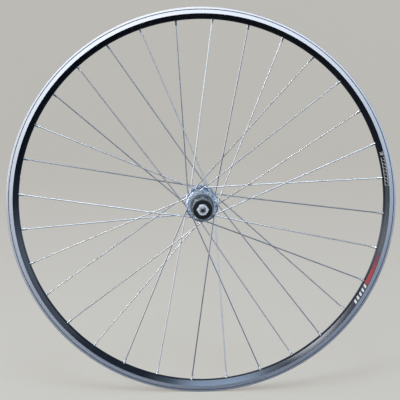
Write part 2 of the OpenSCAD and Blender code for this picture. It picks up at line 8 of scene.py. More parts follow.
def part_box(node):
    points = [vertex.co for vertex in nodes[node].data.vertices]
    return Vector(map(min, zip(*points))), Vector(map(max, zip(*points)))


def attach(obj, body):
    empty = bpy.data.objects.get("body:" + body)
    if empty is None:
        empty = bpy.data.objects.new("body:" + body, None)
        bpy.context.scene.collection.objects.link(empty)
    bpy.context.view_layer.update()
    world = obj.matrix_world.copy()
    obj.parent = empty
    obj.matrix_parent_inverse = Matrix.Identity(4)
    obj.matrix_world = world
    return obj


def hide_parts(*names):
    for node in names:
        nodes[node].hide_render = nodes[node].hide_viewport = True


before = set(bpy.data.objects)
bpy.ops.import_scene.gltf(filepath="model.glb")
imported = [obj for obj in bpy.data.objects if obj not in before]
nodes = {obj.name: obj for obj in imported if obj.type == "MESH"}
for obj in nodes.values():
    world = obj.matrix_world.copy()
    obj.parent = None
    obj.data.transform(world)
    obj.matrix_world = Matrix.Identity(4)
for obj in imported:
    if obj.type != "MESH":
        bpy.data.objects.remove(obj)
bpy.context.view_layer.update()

mm = 0.001
print("frame loaded,", len(nodes), "nodes")


# Meshes
# Parts are drawn as (x, y, along), with along the distance from the middle plane to the drive side

onAxle = Matrix.Rotation(math.radians(90), 4, "X")


def arc(centre, radius, start, end, steps):
    return [
        (
            centre[0] + radius * math.cos(math.radians(start + (end - start) * i / steps)),
            centre[1] + radius * math.sin(math.radians(start + (end - start) * i / steps)),
        )
        for i in range(steps + 1)
    ]


# Turns a closed outline of (radius, along) round the axle
def lathe(outline, steps):
    count = len(outline)
    vertices = []
    for i in range(steps):
        turn = 2 * math.pi * i / steps
        vertices += [(r * math.cos(turn), r * math.sin(turn), s) for r, s in outline]
    faces = []
    for i in range(steps):
        here, there = i * count, (i + 1) % steps * count
        for j in range(count):
            k = (j + 1) % count
            faces.append((here + j, here + k, there + k, there + j))
    return vertices, faces


# A closed tube along a flat path of (distance, along) points, with its own radius at each point
def sweep(stations, sides):
    vertices = []
    last = len(stations) - 1
    for i, (point, radius) in enumerate(stations):
        before = stations[max(i - 1, 0)][0]
        after = stations[min(i + 1, last)][0]
        tangent = (after - before).normalized()
        across = Vector((-tangent.y, tangent.x))
        for j in range(sides):
            turn = 2 * math.pi * j / sides
            out = point + across * radius * math.cos(turn)
            vertices.append((out.x, radius * math.sin(turn), out.y))
    faces = []
    for i in range(last):
        for j in range(sides):
            k = (j + 1) % sides
            faces.append((i * sides + j, i * sides + k, (i + 1) * sides + k, (i + 1) * sides + j))
    faces.append(tuple(range(sides - 1, -1, -1)))
    faces.append(tuple(last * sides + j for j in range(sides)))
    return vertices, faces


# Rounds each corner of a flat path
def roundedPath(corners, radii, stepDegrees=9):
    path = [corners[0]]
    for before, corner, after, radius in zip(corners, corners[1:], corners[2:], radii):
        inward = (before - corner).normalized()
        outward = (after - corner).normalized()
        half = inward.angle(outward) / 2
        start = corner + inward * radius / math.tan(half)
        centre = corner + (inward + outward).normalized() * radius / math.sin(half)
        sweepAngle = math.pi - 2 * half
        if inward.x * outward.y - inward.y * outward.x > 0:
            sweepAngle = -sweepAngle
        steps = max(3, math.ceil(abs(math.degrees(sweepAngle)) / stepDegrees))
        for i in range(steps + 1):
            turn = Matrix.Rotation(sweepAngle * i / steps, 2)
            path.append(centre + turn @ (start - centre))
    path.append(corners[-1])
    return path


def moved(part, matrix):
    vertices, faces = part
    return [tuple(matrix @ Vector(v)) for v in vertices], faces


def joined(parts):
    vertices, faces = [], []
    for part in parts:
        base = len(vertices)
        vertices += part[0]
        faces += [tuple(i + base for i in face) for face in part[1]]
    return vertices, faces


def cylinder(radius, start, end, sides=32):
    vertices, faces = [], []
    for z in (start, end):
        for j in range(sides):
            turn = 2 * math.pi * (j + 0.5) / sides
            vertices.append((radius * math.cos(turn), radius * math.sin(turn), z))
    for j in range(sides):
        k = (j + 1) % sides
        faces.append((j, k, sides + k, sides + j))
    faces.append(tuple(range(sides - 1, -1, -1)))
    faces.append(tuple(range(sides, 2 * sides)))
    return vertices, faces


def newObject(name, part, outward=True):
    mesh = bpy.data.meshes.new(name)
    mesh.from_pydata(part[0], [], part[1])
    if outward:
        shell = bmesh.new()
        shell.from_mesh(mesh)
        bmesh.ops.recalc_face_normals(shell, faces=shell.faces)
        shell.to_mesh(mesh)
        shell.free()
    made = bpy.data.objects.new(name, mesh)
    bpy.context.scene.collection.objects.link(made)
    return made


# Cuts one set of closed shapes out of an object
def cut(target, part):
    tool = newObject("cutter", part)
    modifier = target.modifiers.new("cut", "BOOLEAN")
    modifier.operation = "DIFFERENCE"
    modifier.solver = "EXACT"
    modifier.object = tool
    graph = bpy.context.evaluated_depsgraph_get()
    result = bpy.data.meshes.new_from_object(target.evaluated_get(graph))
    target.modifiers.clear()
    old = target.data
    target.data = result
    bpy.data.meshes.remove(old)
    bpy.data.objects.remove(tool)


def smooth(target, degrees=30):
    target.data.shade_smooth()
    target.data.set_sharp_from_angle(angle=math.radians(degrees))


def asPiece(target, body, stoodFor, materials):
    for material in materials:
        target.data.materials.append(material)
    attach(target, body)
    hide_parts(*stoodFor)


# Materials

class Wire:
    def __init__(self, tree, socket):
        self.tree = tree
        self.socket = socket

    def output(self, name):
        return Wire(self.tree, self.socket.node.outputs[name])

    def math(self, operation, *others):
        return addNode(self.tree, "ShaderNodeMath", {"operation": operation},
                       dict(enumerate((self,) + others)))

    def __add__(self, other):
        return self.math("ADD", other)

    def __sub__(self, other):
        return self.math("SUBTRACT", other)

    def __mul__(self, other):
        return self.math("MULTIPLY", other)

    def __truediv__(self, other):
        return self.math("DIVIDE", other)

    def __gt__(self, other):
        return self.math("GREATER_THAN", other)

    def __lt__(self, other):
        return self.math("LESS_THAN", other)

    def __radd__(self, other):
        return self + other

    def __rmul__(self, other):
        return self * other

    def __rsub__(self, other):
        return addNode(self.tree, "ShaderNodeMath", {"operation": "SUBTRACT"}, {0: other, 1: self})

    def between(self, low, high):
        return (self > low) * (self < high)


def addNode(tree, kind, settings, values, output=0):
    node = tree.nodes.new(kind)
    for name, value in settings.items():
        setattr(node, name, value)
    for key, value in values.items():
        if isinstance(value, Wire):
            tree.links.new(value.socket, node.inputs[key])
        else:
            node.inputs[key].default_value = value
    return Wire(tree, node.outputs[output]) if len(node.outputs) else None


class Surface:
    def __init__(self, name):
        self.material = bpy.data.materials.new(name)
        self.material.use_nodes = True
        self.tree = self.material.node_tree
        self.tree.nodes.clear()
        self.place = self.add("ShaderNodeTexCoord", {}, {}, "Object")
        parts = self.add("ShaderNodeSeparateXYZ", {}, {0: self.place})
        self.x = parts
        self.along = self.x.output("Y") * -1
        self.z = self.x.output("Z")
        self.radius = (self.x * self.x + self.z * self.z).math("SQRT")
        self.angle = self.z.math("ARCTAN2", self.x) * (180 / math.pi)

    def add(self, kind, settings, values, output=0):
        return addNode(self.tree, kind, settings, values, output)

    def noise(self, vector, scale, detail=3.0):
        return self.add("ShaderNodeTexNoise", {}, {"Vector": vector, "Scale": scale, "Detail": detail})

    # Noise that is drawn out round the axle, as a lathe tool leaves it
    def turned(self, pitch, smear, detail=2.0):
        vector = self.add("ShaderNodeCombineXYZ", {}, {
            0: self.radius / pitch, 1: self.along / pitch, 2: self.angle / smear,
        })
        return self.noise(vector, 1.0, detail)

    def colours(self, amount, first, second):
        return self.add("ShaderNodeMix", {"data_type": "RGBA"}, {0: amount, 6: first, 7: second}, 2)

    def bump(self, height, strength, distance, normal=None):
        values = {"Height": height, "Strength": strength, "Distance": distance}
        if normal:
            values["Normal"] = normal
        return self.add("ShaderNodeBump", {}, values)

    def finish(self, values):
        shader = self.add("ShaderNodeBsdfPrincipled", {}, values)
        self.add("ShaderNodeOutputMaterial", {}, {"Surface": shader})
        return self.material


# Metal with lathe lines round the axle, cloudy patches of tarnish and fine scratches
def turnedMetal(name, look):
    surface = Surface(name)
    lines = surface.turned(look["pitch"], look.get("smear", 40))
    patches = surface.noise(surface.place, look.get("patchScale", 180), 4.0)
    scratches = surface.noise(surface.place, look.get("scratchScale", 2600), 1.0)
    tone = (lines * 0.5 + patches * 0.5 - 0.5) * look["variation"] + 0.5
    colour = surface.colours(tone, look["dark"], look["light"])
    roughness = look["roughness"] + (patches - 0.5) * look["roughSpread"] + (scratches - 0.5) * 0.06
    normal = surface.bump(lines, look["lineDepth"], 0.00004)
    return surface.finish({
        "Base Color": colour, "Roughness": roughness, "Metallic": 1.0,
        "Normal": surface.bump(scratches, 0.04, 0.00003, normal),
    })


# Drawn, forged or cast metal, with no lathe lines
def plainMetal(name, look):
    surface = Surface(name)
    grain = surface.noise(surface.place, look["grainScale"], 4.0)
    patches = surface.noise(surface.place, look.get("patchScale", 140), 3.0)
    tone = (grain * 0.4 + patches * 0.6 - 0.5) * look["variation"] + 0.5
    return surface.finish({
        "Base Color": surface.colours(tone, look["dark"], look["light"]),
        "Roughness": look["roughness"] + (patches - 0.5) * look["roughSpread"],
        "Metallic": 1.0,
        "Normal": surface.bump(grain, look["grainDepth"], 0.00005),
    })


def metal(dark, light, roughness, **changes):
    look = {
        "dark": (*dark, 1), "light": (*light, 1), "roughness": roughness,
        "variation": 1.0, "roughSpread": 0.16, "pitch": 0.00025, "lineDepth": 0.12,
        "grainScale": 1500, "grainDepth": 0.08,
    }
    look.update(changes)
    return look


# Rim

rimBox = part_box("rim")
rimRadius = rimBox[1].x
rimHalfWidth = rimBox[1].y

rimLook = {
    "trackHeight": 10 * mm, "grooveDrop": 3.6 * mm, "grooveHalf": 0.5 * mm, "grooveDepth": 0.35 * mm,
    "bedDrop": 19 * mm, "bedCurve": 6 * mm, "bedSweep": 55, "bedWall": 1.8 * mm,
    "sideWall": 1.6 * mm, "flangeHeight": 6 * mm, "edge": 0.4 * mm,
    "segments": 512, "arcSteps": 14,
    "holeCount": 32, "firstHole": 8, "valveAngle": 171.125, "seamAngle": 351.125,
    "nippleHole": 2.15 * mm, "accessHole": 4.2 * mm, "valveHole": 3.25 * mm,
    "wellDrop": 2.8 * mm, "wellHalf": 3 * mm, "wellWall": 1.4 * mm,
    "trackDark": (0.62, 0.63, 0.65, 1), "trackLight": (0.90, 0.91, 0.93, 1),
    "grooveDark": (0.03, 0.03, 0.035, 1), "grooveDarkMargin": 0.15 * mm,
    "trackRings": 0.00016, "trackSweeps": 0.0016, "trackRoughness": 0.27,
    "blackDark": (0.045, 0.049, 0.056, 1), "blackLight": (0.075, 0.081, 0.092, 1), "blackRoughness": 0.17,
    "channelDark": (0.010, 0.010, 0.012, 1), "channelLight": (0.035, 0.034, 0.034, 1),
    "channelRoughness": 0.36, "seamHalfAngle": 0.018, "seamGrey": (0.1, 0.1, 0.1, 1),
}

trackLow = rimRadius - rimLook["trackHeight"]
bedRadius = rimRadius - rimLook["bedDrop"]
rimInnerHalf = rimHalfWidth - rimLook["sideWall"]
seatRadius = rimRadius - rimLook["flangeHeight"]
wellRadius = seatRadius - rimLook["wellDrop"]
wellHalf = rimLook["wellHalf"]


def rimOutline():
    groove = rimRadius - rimLook["grooveDrop"]
    grooveHalf = rimLook["grooveHalf"]
    floor = rimHalfWidth - rimLook["grooveDepth"]
    side = [(wellRadius, 0), (wellRadius, wellHalf)]
    side += arc((wellRadius + 4 * mm, wellHalf), 4 * mm, 180, 128, 5)[1:]
    side += [(seatRadius - 0.1 * mm, rimInnerHalf - 0.7 * mm), (seatRadius + 0.6 * mm, rimInnerHalf)]
    side += [(rimRadius - 2.4 * mm, rimInnerHalf)]
    side += arc((rimRadius - 1.2 * mm, rimInnerHalf + 0.4 * mm), 1.25 * mm, 240, 300, 5)
    side += [(rimRadius, rimInnerHalf + 0.1 * mm), (rimRadius, rimHalfWidth - rimLook["edge"])]
    side += [(rimRadius - rimLook["edge"], rimHalfWidth)]
    side += [(groove + grooveHalf, rimHalfWidth), (groove + grooveHalf * 0.5, floor)]
    side += [(groove - grooveHalf * 0.5, floor), (groove - grooveHalf, rimHalfWidth)]
    side += [(trackLow, rimHalfWidth), (trackLow - 0.2 * mm, rimHalfWidth - 0.2 * mm)]
    side += bedArc(rimLook["bedCurve"])
    return side + [(r, -s) for r, s in reversed(side[1:-1])]


def bedArc(radius):
    centre = (bedRadius + rimLook["bedCurve"], 0)
    return arc(centre, radius, 180 - rimLook["bedSweep"], 180, rimLook["arcSteps"])


def rimCavity():
    low = wellRadius - rimLook["wellWall"]
    side = [(low, 0), (low, wellHalf), (low + 0.3 * mm, wellHalf + 1.7 * mm)]
    side += [(seatRadius - 1.7 * mm, 6.8 * mm), (seatRadius - 1.7 * mm, rimInnerHalf - 0.1 * mm)]
    side += [(trackLow, rimInnerHalf - 0.1 * mm)] + bedArc(rimLook["bedCurve"] - rimLook["bedWall"])
    return side + [(r, -s) for r, s in reversed(side[1:-1])]


# Machined silver, bright and finely ringed, with the brake's grey streaks
def trackMetal():
    surface = Surface("rimTrack")
    rings = surface.turned(rimLook["trackRings"], 60, 2.0)
    broad = surface.turned(rimLook["trackSweeps"], 14, 3.0)
    patches = surface.noise(surface.place, 9.0, 3.0)
    tone = rings * 0.35 + broad * 0.35 + patches * 0.3
    # The wear groove and a thin margin on each side of it are painted near-black
    groove = rimRadius - rimLook["grooveDrop"]
    grooveHalf = rimLook["grooveHalf"] + rimLook["grooveDarkMargin"]
    inGroove = surface.radius.between(groove - grooveHalf, groove + grooveHalf)
    silver = surface.colours(tone, rimLook["trackDark"], rimLook["trackLight"])
    return surface.finish({
        "Base Color": surface.colours(inGroove * 0.85, silver, rimLook["grooveDark"]),
        "Roughness": rimLook["trackRoughness"] + (broad - 0.5) * 0.14 + inGroove * 0.2,
        "Metallic": 1.0,
        "Normal": surface.bump(rings, 0.14, 0.00004),
    })


decal = {
    "start": 320, "low": 300.9 * mm, "high": 306.2 * mm,
    "blocks": (6.6, 13.7), "blockPitch": 1.42, "blockShare": 0.58,
    "warm": (13.7, 24.2), "warmSolid": 3.4, "ticks": (24.2, 45.6), "tickPitch": 0.5,
    "tickShare": 0.3, "bars": (45.6, 54.6), "barPitch": 1.1, "barShare": 0.16, "barBorder": 0.12,
    "endBars": (55.2, 56.3), "endBarPitch": 0.5, "endBarShare": 0.55, "fadePitch": 0.46,
    "white": (0.66, 0.66, 0.66, 1), "red": (0.42, 0.035, 0.04, 1), "grey": (0.20, 0.21, 0.23, 1),
}


# Glossy black with a printed band of blocks, ticks and bars on the side walls
def blackMetal():
    surface = Surface("rimBlack")
    specks = surface.noise(surface.place, 5200, 1.0)
    haze = surface.noise(surface.place, 26, 4.0)
    turn = (surface.angle - decal["start"] + 720).math("MODULO", 360.0)
    share = (surface.radius - decal["low"]) / (decal["high"] - decal["low"])
    inBand = share.between(0, 1)

    def span(low, high):
        return turn.between(low, high) * inBand

    def stripes(pitch, offset):
        return ((turn + share * offset) / pitch).math("FRACT")

    blocks = span(*decal["blocks"]) * (stripes(decal["blockPitch"], 0.5) < decal["blockShare"])
    blocks = blocks * share.between(0.08, 0.92)
    warmStart, warmEnd = decal["warm"]
    fade = ((turn - warmStart - decal["warmSolid"]) / (warmEnd - warmStart)).math("MAXIMUM", 0.0)
    warm = span(warmStart, warmEnd) * (stripes(decal["fadePitch"], 0.5) > fade * 1.1 + 0.12)
    ticks = span(*decal["ticks"]) * (stripes(decal["tickPitch"], 0.5) < decal["tickShare"])
    edges = (share < decal["barBorder"]).math("MAXIMUM", share > 1 - decal["barBorder"])
    barEdge = edges.math("MAXIMUM", stripes(decal["barPitch"], 0.9) < decal["barShare"])
    endBars = span(*decal["endBars"]) * (stripes(decal["endBarPitch"], 0.5) < decal["endBarShare"])
    bars = (span(*decal["bars"]) * barEdge).math("MAXIMUM", endBars)
    seam = (surface.angle - (rimLook["seamAngle"] - 360)).math("ABSOLUTE") < rimLook["seamHalfAngle"]

    base = surface.colours(haze, rimLook["blackDark"], rimLook["blackLight"])
    base = surface.colours(blocks, base, decal["white"])
    base = surface.colours(warm, base, decal["red"])
    base = surface.colours(ticks * 0.7, base, decal["grey"])
    base = surface.colours(bars * 0.8, base, decal["white"])
    base = surface.colours(seam * 0.9, base, rimLook["seamGrey"])
    printed = blocks.math("MAXIMUM", warm).math("MAXIMUM", ticks).math("MAXIMUM", bars)
    return surface.finish({
        "Base Color": base,
        "Roughness": rimLook["blackRoughness"] + haze * 0.1 + printed * 0.25 + specks * 0.03,
        "Metallic": 1.0 - printed,
        "Normal": surface.bump(specks, 0.03, 0.00002),
    })


# Satin black where the tyre covers it
def channelMetal():
    surface = Surface("rimChannel")
    rings = surface.turned(0.0009, 20, 3.0)
    dust = surface.noise(surface.place, 420, 4.0)
    return surface.finish({
        "Base Color": surface.colours(dust, rimLook["channelDark"], rimLook["channelLight"]),
        "Roughness": rimLook["channelRoughness"] + dust * 0.2,
        "Metallic": 0.0,
        "Normal": surface.bump(rings, 0.1, 0.00005),
    })


# Spokes

spokeLook = {
    "driveFlange": 20 * mm, "leftFlange": 37 * mm, "holeCircle": 22.5 * mm, "laceAngle": 67.5,
    "wire": 1 * mm, "sides": 20, "elbow": 1.9 * mm, "bend": 14 * mm,
    "head": 1.9 * mm, "headThickness": 1.1 * mm, "flangeThickness": 3 * mm,
    "lift": 2.6 * mm, "step": 0.05 * mm, "halfGap": 1.03 * mm, "stagger": 1 * mm,
    "tail": 2.1 * mm, "wireDark": (0.48, 0.48, 0.475, 1), "wireLight": (0.80, 0.79, 0.775, 1),
    "wireRoughness": 0.24, "lineScale": 5200,
}

holeRadius = bedRadius + rimLook["bedWall"] / 2
rimPitch = math.radians(360 / rimLook["holeCount"])
lace = math.radians(spokeLook["laceAngle"])
circle = spokeLook["holeCircle"]
planLength = math.sqrt(holeRadius ** 2 + circle ** 2 - 2 * holeRadius * circle * math.cos(lace))
crossShare = circle * math.sin(lace - rimPitch)
crossShare = crossShare / (crossShare + holeRadius * math.sin(rimPitch))
hubLean = lace + math.asin(circle * math.sin(lace) / planLength)


# Odd spokes go to the drive side. Pulling ones leave the outer face of their flange
def sideOf(k):
    return 1 if k % 2 else -1


def turnOf(k):
    return -1 if k % 4 in (1, 2) else 1


def flangeOf(k):
    return spokeLook["driveFlange"] if k % 2 else spokeLook["leftFlange"]


def spokeCorners(k):
    flange = flangeOf(k)
    crossing = flange * (1 - crossShare) + spokeLook["stagger"] * crossShare
    pulling = turnOf(k) < 0
    lift = spokeLook["lift"] if pulling else -spokeLook["lift"]
    gap = -spokeLook["halfGap"] if pulling else spokeLook["halfGap"]
    corners = [(0, flange + lift)]
    if pulling:
        edge = circle + spokeLook["head"]
        run = math.sqrt(edge ** 2 - (circle * math.sin(hubLean)) ** 2) - circle * math.cos(hubLean)
        corners.append((run, flange + lift - spokeLook["step"]))
    corners += [(planLength * crossShare, crossing + gap), (planLength, spokeLook["stagger"])]
    return [Vector((x, sideOf(k) * s)) for x, s in corners]


# From the spoke's own plane, with x along the spoke from its hub hole, to the wheel
def spokePlane(k):
    turn = math.radians(rimLook["firstHole"]) + k * rimPitch
    return (
        onAxle @ Matrix.Rotation(turn + turnOf(k) * lace, 4, "Z")
        @ Matrix.Translation((circle, 0, 0)) @ Matrix.Rotation(-turnOf(k) * hubLean, 4, "Z")
    )


# z points outward along the nipple, from the middle of the spoke bed's wall
def nipplePlane(k):
    corners = spokeCorners(k)
    last = corners[-1] - corners[-2]
    lean = math.pi / 2 - math.atan2(last.y, last.x)
    centre = Matrix.Translation((planLength, 0, sideOf(k) * spokeLook["stagger"]))
    return spokePlane(k) @ centre @ Matrix.Rotation(lean, 4, "Y")


def spokeShape(k):
    corners = spokeCorners(k)
    up = sideOf(k) if turnOf(k) < 0 else -sideOf(k)
    seat = Vector((0, sideOf(k) * flangeOf(k) - up * spokeLook["flangeThickness"] / 2))
    ending = (corners[-1] - corners[-2]).normalized()
    corners[-1] = corners[-1] + ending * spokeLook["tail"]
    bends = [spokeLook["elbow"]] + [spokeLook["bend"]] * (len(corners) - 2)
    line = roundedPath([seat] + corners, bends)
    wire, head, thick = spokeLook["wire"], spokeLook["head"], spokeLook["headThickness"]
    domed = [(1.0, 0.35), (0.98, 0.6), (0.86, 0.83), (0.6, 0.96), (0.3, 1.0), (0.0, 1.0), (0.0, 0.92)]
    outward = Vector((0, -up))
    stations = [(seat + outward * thick * h, head * r) for h, r in domed]
    stations += [(seat + outward * 0.02 * mm, wire * 1.12), (line[0] - outward * 0.15 * mm, wire)]
    stations += [(point, wire) for point in line[1:]]
    return moved(sweep(stations, spokeLook["sides"]), spokePlane(k))


# Drawn stainless wire: a fine grain over faint clouds
def wireMetal():
    surface = Surface("spokeWire")
    lines = surface.noise(surface.place, spokeLook["lineScale"], 1.0)
    patches = surface.noise(surface.place, 60, 3.0)
    tone = lines * 0.3 + patches * 0.7
    return surface.finish({
        "Base Color": surface.colours(tone, spokeLook["wireDark"], spokeLook["wireLight"]),
        "Roughness": spokeLook["wireRoughness"] + patches * 0.10,
        "Metallic": 1.0,
        "Normal": surface.bump(lines, 0.02, 0.00001),
    })


# Nipples

nippleLook = {
    "foot": -8.7 * mm, "flatsLength": 5 * mm, "flats": 1.65 * mm, "shank": 2 * mm,
    "seat": 0.9 * mm, "head": 3 * mm, "headHeight": 2.4 * mm, "bore": 1.04 * mm,
    "slot": 1.2 * mm, "slotDepth": 1 * mm, "sides": 40,
}


def nippleShape():
    look = nippleLook
    foot, seat, top = look["foot"], look["seat"], look["seat"] + look["headHeight"]
    flatsEnd = foot + look["flatsLength"]
    rings = [
        (foot + 0.4 * mm, look["bore"], 0), (foot, look["bore"] + 0.15 * mm, 0),
        (foot, look["shank"] * 0.86, 0), (foot + 0.25 * mm, look["shank"], 1),
        (flatsEnd - 0.1 * mm, look["shank"], 1), (flatsEnd + 0.3 * mm, look["shank"], 0),
        (seat - 0.3 * mm, look["shank"], 0), (seat, look["shank"] + 0.25 * mm, 0),
        (seat + 0.12 * mm, look["head"] - 0.15 * mm, 0), (seat + 0.3 * mm, look["head"], 0),
        (seat + 1.2 * mm, look["head"], 0), (seat + 1.8 * mm, look["head"] * 0.92, 0),
        (top - 0.15 * mm, look["head"] * 0.76, 0), (top, look["head"] * 0.6, 0),
        (top, look["bore"] + 0.2 * mm, 0), (top - 0.3 * mm, look["bore"], 0),
    ]
    sides = look["sides"]
    vertices, faces = [], []
    for z, radius, squared in rings:
        for j in range(sides):
            turn = 2 * math.pi * (j + 0.5) / sides
            flat = look["flats"] / max(abs(math.cos(turn)), abs(math.sin(turn)))
            reach = min(radius, flat) if squared else radius
            vertices.append((reach * math.cos(turn), reach * math.sin(turn), z))
    count = len(rings)
    for i in range(count):
        here, there = i * sides, (i + 1) % count * sides
        for j in range(sides):
            k = (j + 1) % sides
            faces.append((here + j, here + k, there + k, there + j))
    return vertices, faces


def boxShape(x, y, low, high):
    corners = [(i * x, j * y, k) for k in (low, high) for j in (-1, 1) for i in (-1, 1)]
    return corners, [(0, 2, 3, 1), (4, 5, 7, 6), (0, 1, 5, 4), (2, 6, 7, 3), (0, 4, 6, 2), (1, 3, 7, 5)]


def slottedNipple():
    shape = newObject("nippleShape", nippleShape())
    top = nippleLook["seat"] + nippleLook["headHeight"]
    cut(shape, boxShape(5 * mm, nippleLook["slot"] / 2, top - nippleLook["slotDepth"], top + mm))
    vertices = [tuple(v.co) for v in shape.data.vertices]
    faces = [tuple(f.vertices) for f in shape.data.polygons]
    bpy.data.objects.remove(shape)
    return vertices, faces


# Build the rim, spokes and nipples

def buildRim():
    rim = newObject("rimPiece", moved(lathe(rimOutline(), rimLook["segments"]), onAxle))
    cavity = moved(lathe(rimCavity(), rimLook["segments"]), onAxle)
    holes = []
    for k in range(rimLook["holeCount"]):
        holes.append(moved(cylinder(rimLook["nippleHole"], -5 * mm, 4 * mm), nipplePlane(k)))
        holes.append(moved(cylinder(rimLook["accessHole"], 5.5 * mm, 13 * mm), nipplePlane(k)))
    valve = onAxle @ Matrix.Rotation(math.radians(rimLook["valveAngle"]), 4, "Z")
    valve = valve @ Matrix.Translation((bedRadius, 0, 0)) @ Matrix.Rotation(math.pi / 2, 4, "Y")
    holes.append(moved(cylinder(rimLook["valveHole"], -3 * mm, 16 * mm, 40), valve))
    cut(rim, cavity)
    cut(rim, joined(holes))
    asPiece(rim, "wheel", ["rim"], [blackMetal(), trackMetal(), channelMetal()])
    for face in rim.data.polygons:
        middle = face.center
        radius, side = math.hypot(middle.x, middle.z), abs(middle.y)
        if radius > trackLow - 0.05 * mm and side > rimHalfWidth - 0.5 * mm:
            face.material_index = 1
        elif radius > wellRadius - 1.5 * mm and side < rimInnerHalf + 0.05 * mm:
            face.material_index = 2
        else:
            face.material_index = 0
    smooth(rim, 24)


def buildSpokes(node, first, material):
    parts = [spokeShape(k) for k in range(first, rimLook["holeCount"], 4)]
    spokes = newObject("spokes." + node.replace("_spokes", ""), joined(parts))
    smooth(spokes, 50)
    asPiece(spokes, "wheel", [node], [material])


def buildNipples(node, first, shape, material):
    parts = [moved(shape, nipplePlane(k)) for k in range(first, rimLook["holeCount"], 2)]
    nipples = newObject("nipples." + node.replace("_nipples", ""), joined(parts))
    smooth(nipples, 40)
    asPiece(nipples, "wheel", [node], [material])


buildRim()
print("rim built")
spokeMetal = wireMetal()
for node, first in (("drive_pulling_spokes", 1), ("drive_static_spokes", 3),
                    ("left_pulling_spokes", 2), ("left_static_spokes", 0)):
    buildSpokes(node, first, spokeMetal)
nipple = slottedNipple()
nippleMetal = plainMetal("nickelPlate", metal((0.55, 0.54, 0.52), (0.86, 0.85, 0.82), 0.22))
buildNipples("drive_nipples", 1, nipple, nippleMetal)
buildNipples("left_nipples", 0, nipple, nippleMetal)
print("spokes and nipples built")


# Hub shell

hubLook = {
    "flange": 26.5 * mm, "flangeHalf": 1.5 * mm, "edgeHalf": 0.7 * mm, "flat": 24.4 * mm,
    "barrel": 13 * mm, "root": 5 * mm, "driveBoss": 16.8 * mm, "leftBoss": 16.4 * mm,
    "spokeHole": 1.3 * mm, "segments": 192, "socket": 10.4 * mm, "boltBore": 7.5 * mm,
    "cup": 14.195 * mm, "lip": 9.2 * mm, "guard": 0.3 * mm,
}

# The blue cast in these colours is a painted sky reflection; the spread from dark to light is the
# aluminium's own tone
hubPolishPaintedSky = metal((0.40, 0.46, 0.53), (0.70, 0.77, 0.86), 0.20, pitch=0.0004, lineDepth=0.05,
                  roughSpread=0.10, variation=0.9)

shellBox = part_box("hub_shell")
shellFace = -shellBox[0].y
shellEnd = shellBox[1].y


# A fillet, and a narrow ring after it that keeps the flange's flat face evenly lit
def quarter(radius, plane, size, direction, steps=10):
    fillet = [
        (
            radius + size - size * math.cos(math.pi / 2 * i / steps),
            plane + direction * (size - size * math.sin(math.pi / 2 * i / steps)),
        )
        for i in range(steps + 1)
    ]
    return fillet + [(radius + size + hubLook["guard"], plane)]


def flangeOutline(at):
    look = hubLook
    half, edge = look["flangeHalf"], look["edgeHalf"]
    rim = look["flange"]
    rounded = arc((rim - edge, at), edge, -90, 90, 8)
    inner = look["flat"] - look["guard"]
    face = [(inner, at - half), (look["flat"], at - half)]
    return face + rounded + [(look["flat"], at + half), (inner, at + half)]


def hubOutline():
    look = hubLook
    left, drive = -spokeLook["leftFlange"], spokeLook["driveFlange"]
    half = look["flangeHalf"]
    outline = [(look["cup"], -shellEnd), (look["leftBoss"] - 0.8 * mm, -shellEnd)]
    outline += arc((look["leftBoss"] - 0.8 * mm, 0.8 * mm - shellEnd), 0.8 * mm, -90, 0, 5)[1:]
    outline += quarter(look["leftBoss"], left - half, 1.5 * mm, -1)
    outline += flangeOutline(left)
    outline += quarter(look["barrel"], left + half, look["root"], 1)[::-1]
    outline += quarter(look["barrel"], drive - half, look["root"], -1)
    outline += flangeOutline(drive)
    outline += quarter(look["driveBoss"], drive + half, 0.8 * mm, 1)[::-1]
    outline += [(look["driveBoss"], shellFace - 0.3 * mm), (look["driveBoss"] - 0.3 * mm, shellFace)]
    outline += [(look["socket"], shellFace), (look["socket"], shellFace - 5 * mm)]
    outline += [(look["boltBore"], shellFace - 5 * mm), (look["boltBore"], 4 * mm)]
    outline += [(look["lip"], 4 * mm), (look["lip"], -36 * mm), (look["cup"], -36 * mm)]
    return outline


def buildHub():
    hub = newObject("hubPiece", moved(lathe(hubOutline(), hubLook["segments"]), onAxle))
    holes = []
    for k in range(rimLook["holeCount"]):
        at = sideOf(k) * flangeOf(k)
        hole = cylinder(hubLook["spokeHole"], at - 3 * mm, at + 3 * mm, 24)
        turn = math.radians(rimLook["firstHole"]) + k * rimPitch + turnOf(k) * lace
        place = onAxle @ Matrix.Rotation(turn, 4, "Z") @ Matrix.Translation((circle, 0, 0))
        holes.append(moved(hole, place))
    cut(hub, joined(holes))
    smooth(hub, 32)
    asPiece(hub, "wheel", ["hub_shell"], [turnedMetal("hubPolishPaintedSky", hubPolishPaintedSky)])


buildHub()
print("hub built")


# Axle

axleLook = {
    "radius": 4.8 * mm, "bore": 2.6 * mm, "pitch": 1 * mm, "depth": 0.55 * mm,
    "chamfer": 0.8 * mm, "sides": 60, "threadFrom": 64 * mm,
}


